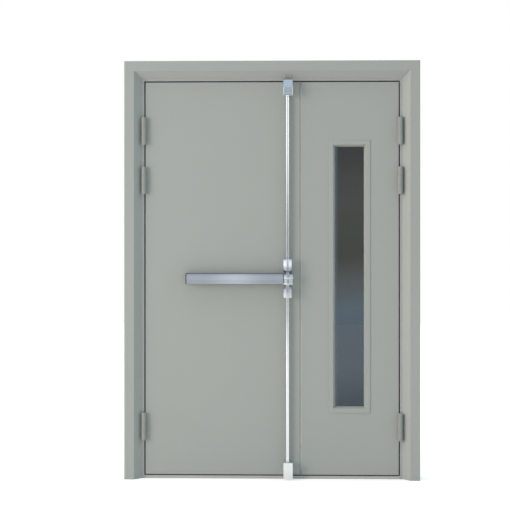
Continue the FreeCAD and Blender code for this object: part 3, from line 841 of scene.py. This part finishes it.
def makePad():
    # Folded cover: flanges into the rail, an upright face and an apron that leans out
    look = padLook
    low, high = nodeBox("push_bar_pad")
    wall, bend, tight = look["wall"], look["bend"], look["innerBend"]
    front = low[1] + look["apron"]
    flange = front + look["flangeReach"]
    apronTop = low[2] + look["apronHeight"]
    apronFoot = low[1] + wall * (1 + look["apron"] / look["apronHeight"])
    outer = [(flange, high[2]), (front, high[2]), (front, apronTop), (low[1], low[2]), (flange, low[2])]
    inner = [(flange, low[2] + wall), (apronFoot, low[2] + wall), (front + wall, apronTop),
             (front + wall, high[2] - wall), (flange, high[2] - wall)]
    radii = [0, bend, look["apronBend"], bend, 0, 0, tight, look["apronInnerBend"], tight, 0]
    folded = outlinePoints(outer + inner, radii, arcSteps=7, sideSteps=1)
    shells = [prism(folded, low[0], high[0], "side")]
    # Closing plate of the open end against the head
    near = (high[0] - look["endPlate"], front + wall / 2, low[2] + wall / 2)
    shells.append(block(near, (high[0], flange, high[2] - wall / 2)))
    railLow, railHigh = nodeBox("push_bar_rail")
    middle = (railLow[2] + railHigh[2]) / 2
    half = look["stemSide"] / 2
    for stemX in (railLow[0] + look["stemInset"], railHigh[0] - look["stemInset"]):
        near = (stemX - half, front + wall / 2, middle - half)
        shells.append(block(near, (stemX + half, high[1], middle + half)))
    makePiece("push_bar_cover", shells, barSteel, "push_bar", ["push_bar_pad"])


endCapLook = {"corner": 0.006, "rim": 0.002, "rimSteps": 6}


def makeEndCap():
    # Rounded rectangle carried outward, drawing in over a quarter turn at its outer face
    look = endCapLook
    low, high = nodeBox("push_bar_end_cap")
    t = np.linspace(0, math.pi / 2, look["rimSteps"])
    places = low[0] + look["rim"] * (1 - np.sin(t))
    insets = look["rim"] * (1 - np.cos(t))
    rows = []
    for x, inset in [(high[0], 0.0), *zip(places, insets)]:
        front, foot, top = low[1] + inset, low[2] + inset, high[2] - inset
        corners = [(high[1], foot), (front, foot), (front, top), (high[1], top)]
        outline = outlinePoints(corners, [0, look["corner"], look["corner"], 0], arcSteps=9, sideSteps=3)
        rows.append(placed(outline, x, "side"))
    shell = shellOf(rows)
    makePiece(
        "push_bar_moulded_cap", [shell], capPlastic, "left_leaf", ["push_bar_end_cap"]
    )


makePad()
makeEndCap()
print("push bar: pad and end cap")

# Gaskets: a flat foot in the stop with a soft bulb towards the leaf
gasketLook = {"foot": 0.0010, "bulbShare": 0.72, "steps": 15}


def bulbOutline(low, high, stopAt):
    # Foot as wide as the seal; the bulb's height is foot + (full - foot) sin t over half a turn
    look = gasketLook
    full = stopAt - low[1]
    start, end = low[0], high[0]
    middle, half = (start + end) / 2, (end - start) / 2 * look["bulbShare"]
    t = np.linspace(0, math.pi, look["steps"])
    depth = stopAt - look["foot"] - (full - look["foot"]) * np.sin(t)
    bulb = np.stack([middle - half * np.cos(t), depth], axis=1)
    near = [[start, stopAt], [start, stopAt - look["foot"]]]
    far = [[end, stopAt - look["foot"]], [end, stopAt]]
    return np.concatenate([near, bulb, far])


def makeGasket(node, upright):
    # The bulb's outline carried up a jamb, or along the head or the sill
    low, high = nodeBox(node)
    if upright:
        outline = bulbOutline((low[0], low[1]), (high[0], high[1]), high[1])
        shell = prism(outline, low[2], high[2], "plan")
    else:
        outline = bulbOutline((low[2], low[1]), (high[2], high[1]), high[1])[:, ::-1]
        shell = prism(outline, low[0], high[0], "side")
    makePiece(node + "_bulb", [shell], sealRubber, "frame", [node])


for node in ("left_gasket", "right_gasket"):
    makeGasket(node, True)
for node in ("top_gasket", "bottom_gasket"):
    makeGasket(node, False)
print("gaskets: 4")

# Vision trims: a folded section carried round the opening with mitred corners
trimLook = {
    "sheet": 0.0015,
    "flat": 0.021,
    "bevel": 0.009,
    "stand": 0.003,
    "bend": 0.0012,
    "innerBend": 0.0002,
    "gasketLip": 0.002,
    "glassCover": 0.010,
    "sharpAngle": 25,
    "screwSpacing": 0.28,
    "screwInset": 0.0105,
}


def makeTrim(node, faceY, glassY, outward):
    # Section point (d, y) goes to the four corners of the opening grown by d, at depth y.
    # Returns the opening and the depth of the trim's flat border
    look = trimLook
    glassLow, glassHigh = nodeBox("vision_glass")
    cover = look["glassCover"]
    x0, x1 = glassLow[0] + cover, glassHigh[0] - cover
    z0, z1 = glassLow[2] + cover, glassHigh[2] - cover
    sheet, bevel, edge = look["sheet"], look["bevel"], look["bevel"] + look["flat"]
    proud = faceY + outward * look["stand"]
    behind = proud - outward * sheet
    slope = np.array([bevel, proud - glassY])
    along = slope / np.linalg.norm(slope)
    inside = np.array([bevel, proud]) + np.array([along[1], -along[0]]) * -outward * sheet
    innerBend = inside + along * (behind - inside[1]) / along[1]
    innerGlass = inside + along * (glassY - inside[1]) / along[1]
    corners = [(edge, faceY), (edge, proud), (bevel, proud), (0.0, glassY),
               tuple(innerGlass), tuple(innerBend), (edge - sheet, behind), (edge - sheet, faceY)]
    bend, tight = look["bend"], look["innerBend"]
    radii = [0, bend, bend, 0, 0, tight, tight, 0]
    section = outlinePoints(corners, radii, arcSteps=5, sideSteps=1)
    d, y = section[:, 0], section[:, 1]
    loops = [np.stack([x, y, z], axis=1) for x, z in
             ((x0 - d, z0 - d), (x1 + d, z0 - d), (x1 + d, z1 + d), (x0 - d, z1 + d))]
    shell = shellOf(loops, closed=True)
    makePiece(
        node + "_folded", [shell], leafPaint, "right_leaf", [node], look["sharpAngle"]
    )
    return x0, x1, z0, z1, proud


glassFront, glassBack = nodeBox("vision_glass")[0][1], nodeBox("vision_glass")[1][1]
makeTrim("vision_front_trim", leafFront, glassFront - trimLook["gasketLip"], -1.0)
backEdges = makeTrim("vision_back_trim", leafBack, glassBack + trimLook["gasketLip"], 1.0)


def makeTrimScrews(edges):
    # Countersunk screws along the middle of the back trim's flat border, evenly spaced
    look = trimLook
    x0, x1, z0, z1, faceY = edges
    out = look["bevel"] + look["screwInset"]
    count = int(round((z1 - z0) / look["screwSpacing"])) + 1
    places = [(x, z) for x in (x0 - out, x1 + out) for z in np.linspace(z0, z1, count)]
    places += [((x0 + x1) / 2, z) for z in (z0 - out, z1 + out)]
    shells = [screwShell((x, faceY, z), (0, 1, 0)) for x, z in places]
    makePiece("vision_back_screws", shells, screwSteel, "right_leaf")


makeTrimScrews(backEdges)
print("vision panel: two folded trims and the back trim's screws")

# Strike plate on the head's splay, with a slot for the bolt and two screws
strikeLook = {
    "thickness": 0.002,
    "corner": 0.004,
    "rim": 0.0004,
    "slotWidth": 0.017,
    "slotHeight": 0.011,
    "slotCorner": 0.0054,
    "screwReach": 0.0155,
}
smallScrewLook = {**screwLook, "radius": 0.0032, "socket": 0.0014}


def rectanglePoints(halfWidth, halfHeight, corner):
    # Rectangle about its middle with round corners
    corners = [(-halfWidth, -halfHeight), (halfWidth, -halfHeight),
               (halfWidth, halfHeight), (-halfWidth, halfHeight)]
    return outlinePoints(corners, [corner] * 4, arcSteps=7, sideSteps=5)


def makeStrike():
    # Outline point (a, b) goes to middle + a along the head + b up its splay + level off it
    look = strikeLook
    low, high = nodeBox("top_strike")
    thickness, rim, slant = look["thickness"], look["rim"], math.sqrt(0.5)
    along = np.array([1.0, 0.0, 0.0])
    rise = np.array([0.0, -slant, slant])
    proud = np.array([0.0, -slant, -slant])
    halfWidth = (high[0] - low[0]) / 2
    halfLength = ((high[2] - low[2]) / slant - thickness) / 2
    start = np.array([(low[0] + high[0]) / 2, high[1], low[2] + thickness * slant])
    middle = start + rise * halfLength
    outer = rectanglePoints(halfWidth, halfLength, look["corner"])
    inner = rectanglePoints(halfWidth - rim, halfLength - rim, look["corner"])
    slot = rectanglePoints(look["slotWidth"] / 2, look["slotHeight"] / 2, look["slotCorner"])
    levels = [(outer, 0.0), (outer, thickness - rim), (inner, thickness), (slot, thickness), (slot, 0.0)]
    rows = [middle + outline[:, 0, None] * along + outline[:, 1, None] * rise + level * proud
            for outline, level in levels]
    shell = shellOf(rows, closed=True)
    makePiece("strike_plate", [shell], framePaint, "frame", ["top_strike"])
    face = middle + proud * thickness
    reaches = (-look["screwReach"], look["screwReach"])
    shells = [screwShell(face + reach * along, proud, smallScrewLook) for reach in reaches]
    makePiece("strike_screws", shells, screwSteel, "frame")


makeStrike()
print("strike: plate and two screws")

# Floor, light and camera
floorLook = {
    "size": 20.0,
    "colour": (0.80, 0.77, 0.72, 1.0),
    "roughness": 0.9,
    "specular": 0.1,
    "grain": {"scale": 6.0},
    "grainDepth": 0.01,
    "lifts": {"Is Camera Ray": 0.42, "Is Glossy Ray": 0.26, "Is Transmission Ray": -0.26},
}


def makeFloor():
    # Pale floor; what the camera sees of it is lifted to white, and what metal shows less so.
    # A ray through glass counts as glossy too, so its own share takes that lift back
    look = floorLook
    half = look["size"] / 2
    mesh = bpy.data.meshes.new("floor")
    corners = [(-half, -half, 0), (half, -half, 0), (half, half, 0), (-half, half, 0)]
    mesh.from_pydata(corners, [], [(0, 1, 2, 3)])
    floor = bpy.data.objects.new("floor", mesh)
    bpy.context.scene.collection.objects.link(floor)
    matt = {"Roughness": look["roughness"], "Specular IOR Level": look["specular"]}
    material, tree, shader, place = startMaterial("paleFloor", matt)
    grain = spread(tree, noiseOf(tree, place, **look["grain"]), 0.0, 1.0)
    tint = mixColours(tree, grain, shaded(look["colour"], 1 - look["grainDepth"]), look["colour"])
    tree.links.new(tint, shader.inputs["Base Color"])
    path = addNode(tree, "ShaderNodeLightPath").outputs
    lift = 0.0
    for ray, share in look["lifts"].items():
        lift = combined(tree, "MULTIPLY_ADD", path[ray], share, lift)
    shader.inputs["Emission Color"].default_value = white
    tree.links.new(lift, shader.inputs["Emission Strength"])
    mesh.materials.append(material)


roomLook = {
    "sideEdges": (-0.3, 0.3),
    "backEdges": (0.1, 0.5),
    "skyEdges": (0.05, 0.25),
    "horizonShade": 0.22,
    "horizonEdges": (0.01, 0.062),
    "groundEdges": (-0.11, -0.06),
}
mirrorLook = {
    "front": (0.36, 0.41, 0.455, 1.0),
    "sky": (0.515, 0.61, 0.71, 1.0),
    "skyAround": 1.0,
    "left": (2.0, 2.0, 2.0, 1.0),
    "right": (1.7, 1.7, 1.7, 1.0),
    "back": (1.0, 1.0, 1.0, 1.0),
    "frontEdges": (-0.99, -0.90),
}
lightingLook = {
    "front": (0.0, 0.0, 0.0, 1.0),
    "sky": (0.49, 0.475, 0.57, 1.0),
    "skyAround": 0.0,
    "left": (1.75, 1.67, 1.55, 1.0),
    "right": (0.97, 1.30, 1.47, 1.0),
    "back": (0.92, 0.92, 0.92, 1.0),
    "frontEdges": (-0.85, -0.35),
}


def roomShade(tree, parts, look):
    # Colour by direction: bright to the left and right, dimmer at the back, and darkest on the
    # camera's side below a sky, which reaches over the other sides by the share skyAround
    toFront = spread(tree, parts["Y"], 1.0, 0.0, *look["frontEdges"])
    toBack = spread(tree, parts["Y"], 0.0, 1.0, *roomLook["backEdges"])
    toRight = spread(tree, parts["X"], 0.0, 1.0, *roomLook["sideEdges"])
    sides = mixColours(tree, toRight, look["left"], look["right"])
    around = mixColours(tree, toBack, sides, look["back"])
    around = mixColours(tree, toFront, around, look["front"])
    reach = combined(tree, "MAXIMUM", toFront, look["skyAround"])
    toSky = combined(tree, "MULTIPLY", reach, spread(tree, parts["Z"], 0.0, 1.0, *roomLook["skyEdges"]))
    return mixColours(tree, toSky, around, look["sky"])


def makeWorld():
    # One room lights matt surfaces, metal shows another that is darker at the horizon, and the
    # camera sees white
    world = bpy.data.worlds.new("studio")
    bpy.context.scene.world = world
    world.use_nodes = True
    tree = world.node_tree
    direction = addNode(tree, "ShaderNodeTexCoord").outputs["Generated"]
    parts = addNode(tree, "ShaderNodeSeparateXYZ", {"Vector": direction}).outputs
    horizon = spread(tree, parts["Z"], roomLook["horizonShade"], 1.0, *roomLook["horizonEdges"])
    mirrored = addNode(
        tree, "ShaderNodeMix", {0: 1.0, 6: roomShade(tree, parts, mirrorLook), 7: horizon},
        data_type="RGBA", blend_type="MULTIPLY",
    ).outputs[2]
    toGround = spread(tree, parts["Z"], 1.0, 0.0, *roomLook["groundEdges"])
    mirrored = mixColours(tree, toGround, mirrored, white)
    path = addNode(tree, "ShaderNodeLightPath").outputs
    plain = combined(tree, "MAXIMUM", path["Is Camera Ray"], path["Is Transmission Ray"])
    shade = mixColours(tree, path["Is Glossy Ray"], roomShade(tree, parts, lightingLook), mirrored)
    shade = mixColours(tree, plain, shade, white)
    tree.links.new(shade, tree.nodes["Background"].inputs["Color"])


keyLook = {"power": 198.0, "size": 2.75, "away": (-5.8, -4.06, 0.95)}


def makeKey():
    # Square lamp to the left in front, aimed at the middle of the door
    lamp = bpy.data.lights.new("keyLight", "AREA")
    lamp.shape = "SQUARE"
    lamp.size = keyLook["size"]
    lamp.energy = keyLook["power"]
    target = Vector((0, 0, cadBounds[1].z / 2))
    key = bpy.data.objects.new("keyLight", lamp)
    key.location = target + Vector(keyLook["away"])
    key.rotation_euler = (target - key.location).to_track_quat("-Z", "Y").to_euler()
    key.visible_glossy = False
    bpy.context.scene.collection.objects.link(key)


cameraLook = {
    "lens": 84.65,
    "sensor": 36.0,
    "shiftY": -0.0488,
    "place": (0.0639, -6.1325, 1.26625),
    "yaw": 0.0245,
}


def makeCamera():
    # Camera at the photograph's place and angle
    data = bpy.data.cameras.new("doorView")
    data.lens = cameraLook["lens"]
    data.sensor_width = cameraLook["sensor"]
    data.shift_y = cameraLook["shiftY"]
    camera = bpy.data.objects.new("doorView", data)
    camera.location = cameraLook["place"]
    camera.rotation_euler = (math.pi / 2, 0, cameraLook["yaw"])
    bpy.context.scene.collection.objects.link(camera)
    bpy.context.scene.camera = camera


makeFloor()
makeWorld()
makeKey()
makeCamera()
bpy.context.scene.view_settings.view_transform = "Standard"
print("stage: floor, world, key light and camera")
